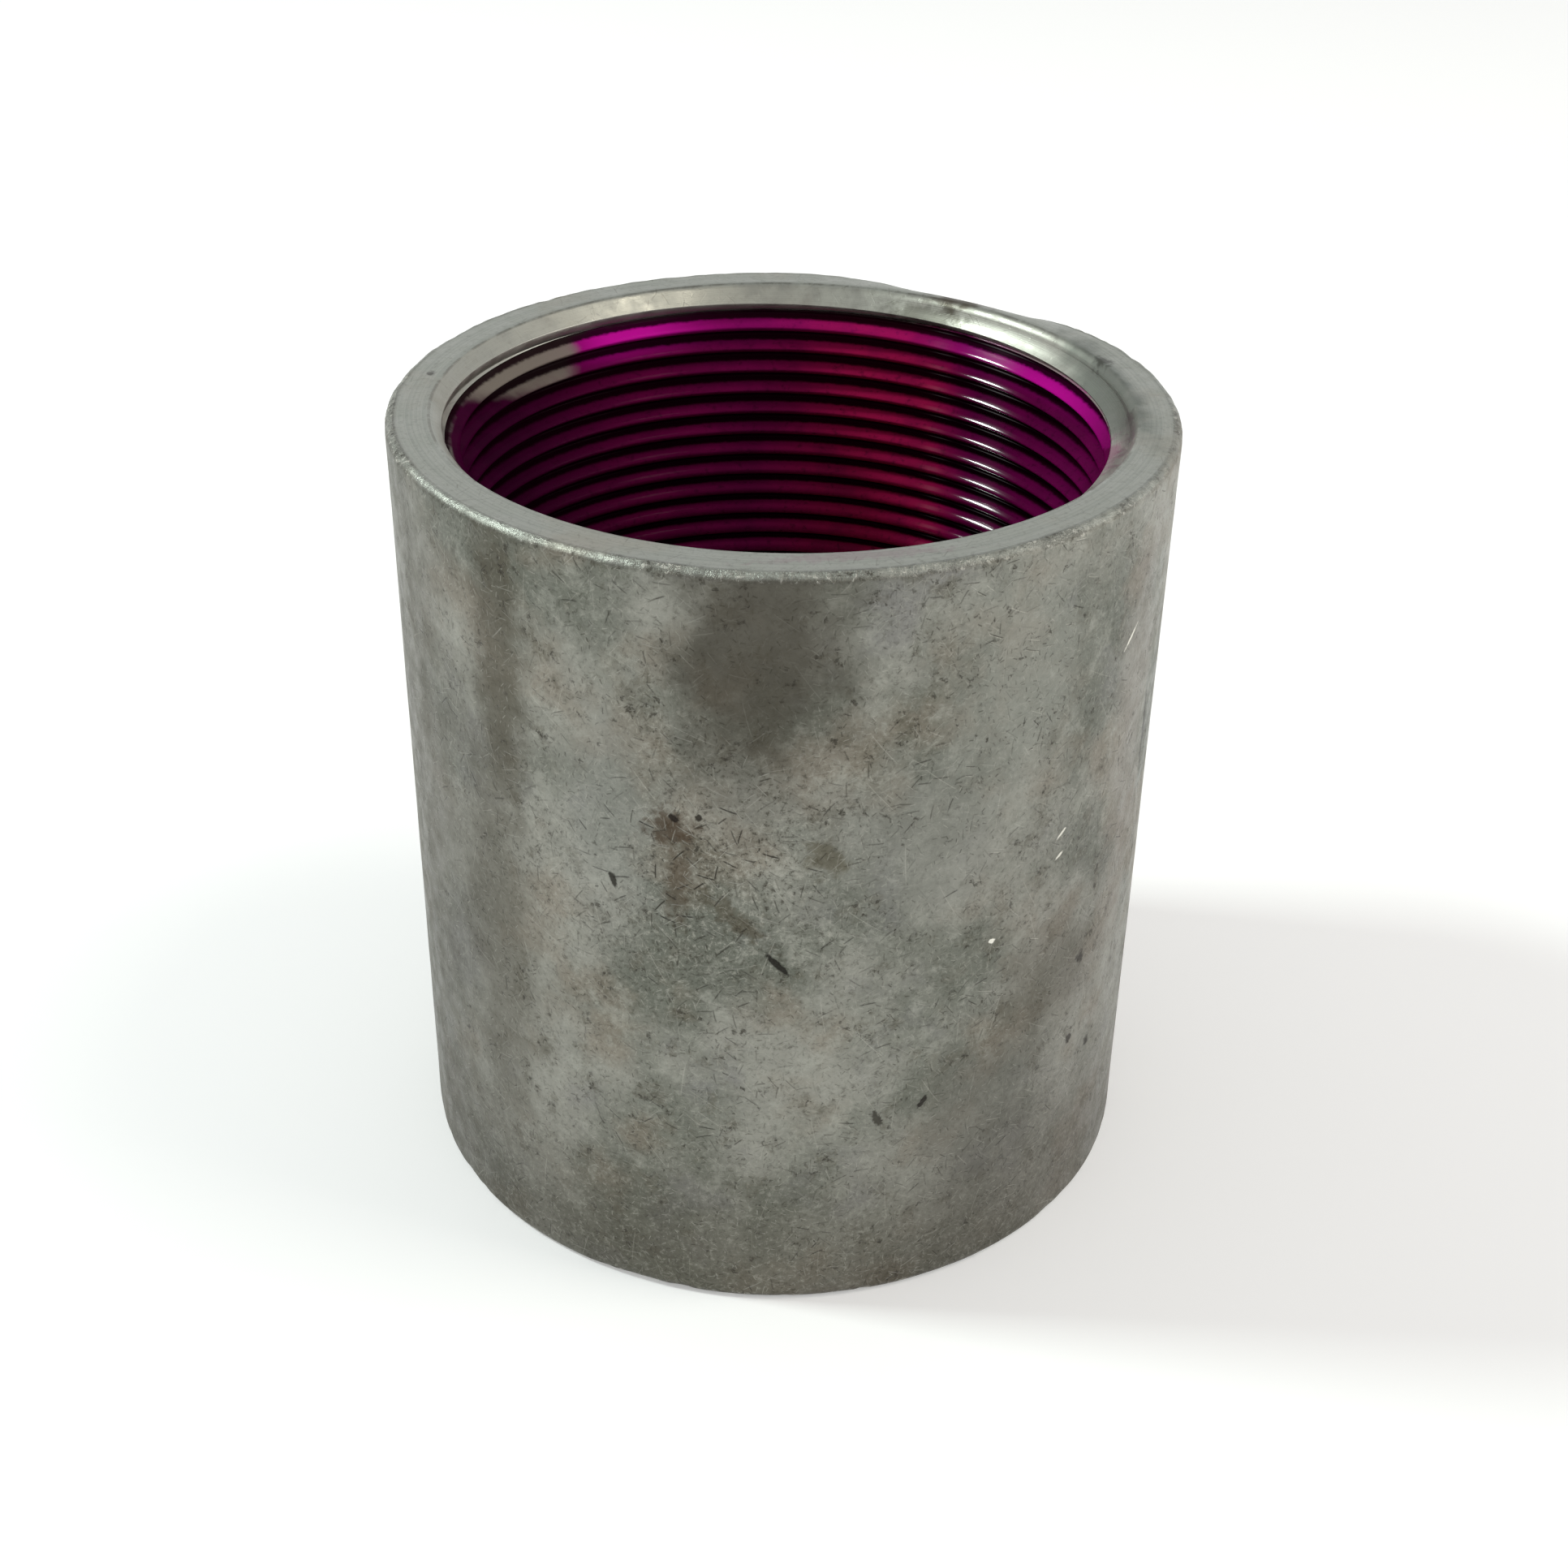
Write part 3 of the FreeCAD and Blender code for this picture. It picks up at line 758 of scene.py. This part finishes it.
body = make_body()
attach(body, "root")
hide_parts("coupling_body")

upper_film = film_piece("upper_coat_film", False)
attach(upper_film, "root")
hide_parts("upper_thread_coat")

lower_film = film_piece("lower_coat_film", True)
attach(lower_film, "root")
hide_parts("lower_thread_coat")

body.data.materials.append(steel_material())
upper_film.data.materials.append(film_material("magenta_film", 0.0))
lower_film.data.materials.append(film_material("magenta_film_lower", 50.0))


# ---------------------------------------------------------------- floor, light and camera
FLOOR_HALF_SIZE = 6.0

# the camera's lens in mm, distance in outer radii, height angle, and small turns off the middle
LENS = 51.18
CAMERA_DISTANCE = 6.1937
CAMERA_RISE = 0.540726
CAMERA_PAN = -0.00246235
CAMERA_TILT = -0.0106813
CAMERA_ROLL = 0.0149255


def floor():
    size = FLOOR_HALF_SIZE
    mesh = bpy.data.meshes.new("floor")
    corners = [(-size, -size, 0.0), (size, -size, 0.0), (size, size, 0.0), (-size, size, 0.0)]
    mesh.from_pydata(corners, [], [(0, 1, 2, 3)])
    made = bpy.data.objects.new("floor", mesh)
    bpy.context.scene.collection.objects.link(made)
    mesh.materials.append(floor_material())


def soft_box(name, direction, distance, size, watts, colour, aim):
    data = bpy.data.lights.new(name, "AREA")
    data.shape = "RECTANGLE"
    data.size, data.size_y = size
    data.energy = watts
    data.color = colour
    made = bpy.data.objects.new(name, data)
    made.location = aim + Vector(direction).normalized() * distance
    made.rotation_euler = (aim - made.location).to_track_quat("-Z", "Y").to_euler()
    bpy.context.scene.collection.objects.link(made)


def camera():
    data = bpy.data.cameras.new("camera")
    data.sensor_width = 36.0
    data.lens = LENS
    data.clip_start = 0.01
    middle = Vector((0.0, 0.0, LENGTH / 2.0 * MM))
    distance = CAMERA_DISTANCE * OUTER_RADIUS * MM
    place = middle + Vector((0.0, -math.cos(CAMERA_RISE), math.sin(CAMERA_RISE))) * distance
    look = (middle - place).to_track_quat("-Z", "Y").to_matrix().to_4x4()
    nudge = (Matrix.Rotation(CAMERA_PAN, 4, "Y") @ Matrix.Rotation(CAMERA_TILT, 4, "X")
             @ Matrix.Rotation(CAMERA_ROLL, 4, "Z"))
    made = bpy.data.objects.new("camera", data)
    made.matrix_world = Matrix.Translation(place) @ look @ nudge
    bpy.context.scene.collection.objects.link(made)
    bpy.context.scene.camera = made


def world_light():
    world = bpy.data.worlds.new("studio")
    world.use_nodes = True
    tree = world.node_tree
    coords = tree.nodes.new("ShaderNodeTexCoord")
    split = tree.nodes.new("ShaderNodeSeparateXYZ")
    fade = tree.nodes.new("ShaderNodeMapRange")
    fade.inputs["From Min"].default_value = 0.25
    fade.inputs["From Max"].default_value = 0.95
    fade.inputs["To Min"].default_value = 0.80
    fade.inputs["To Max"].default_value = 0.38
    tree.links.new(coords.outputs["Generated"], split.inputs[0])
    tree.links.new(split.outputs["Z"], fade.inputs["Value"])
    tree.links.new(fade.outputs["Result"], tree.nodes["Background"].inputs["Strength"])
    tree.nodes["Background"].inputs["Color"].default_value = (1.0, 1.0, 1.0, 1.0)
    bpy.context.scene.world = world


floor()
top = Vector((0.0, 0.0, LENGTH * MM))
soft_box("left_light", (-0.70, 0.07, 0.70), 1.4, (0.20, 0.20), 9.5, (0.90, 1.0, 0.95), top)
soft_box("right_light", (0.50, -0.10, 0.86), 1.5, (0.40, 0.40), 3.4, (1.0, 0.94, 0.82), top)
soft_box("side_fill", (1.0, -0.10, 0.30), 1.6, (0.9, 0.9), 7.0, (1.0, 0.97, 0.92), top)
camera()
world_light()
bpy.context.scene.view_settings.view_transform = "Standard"
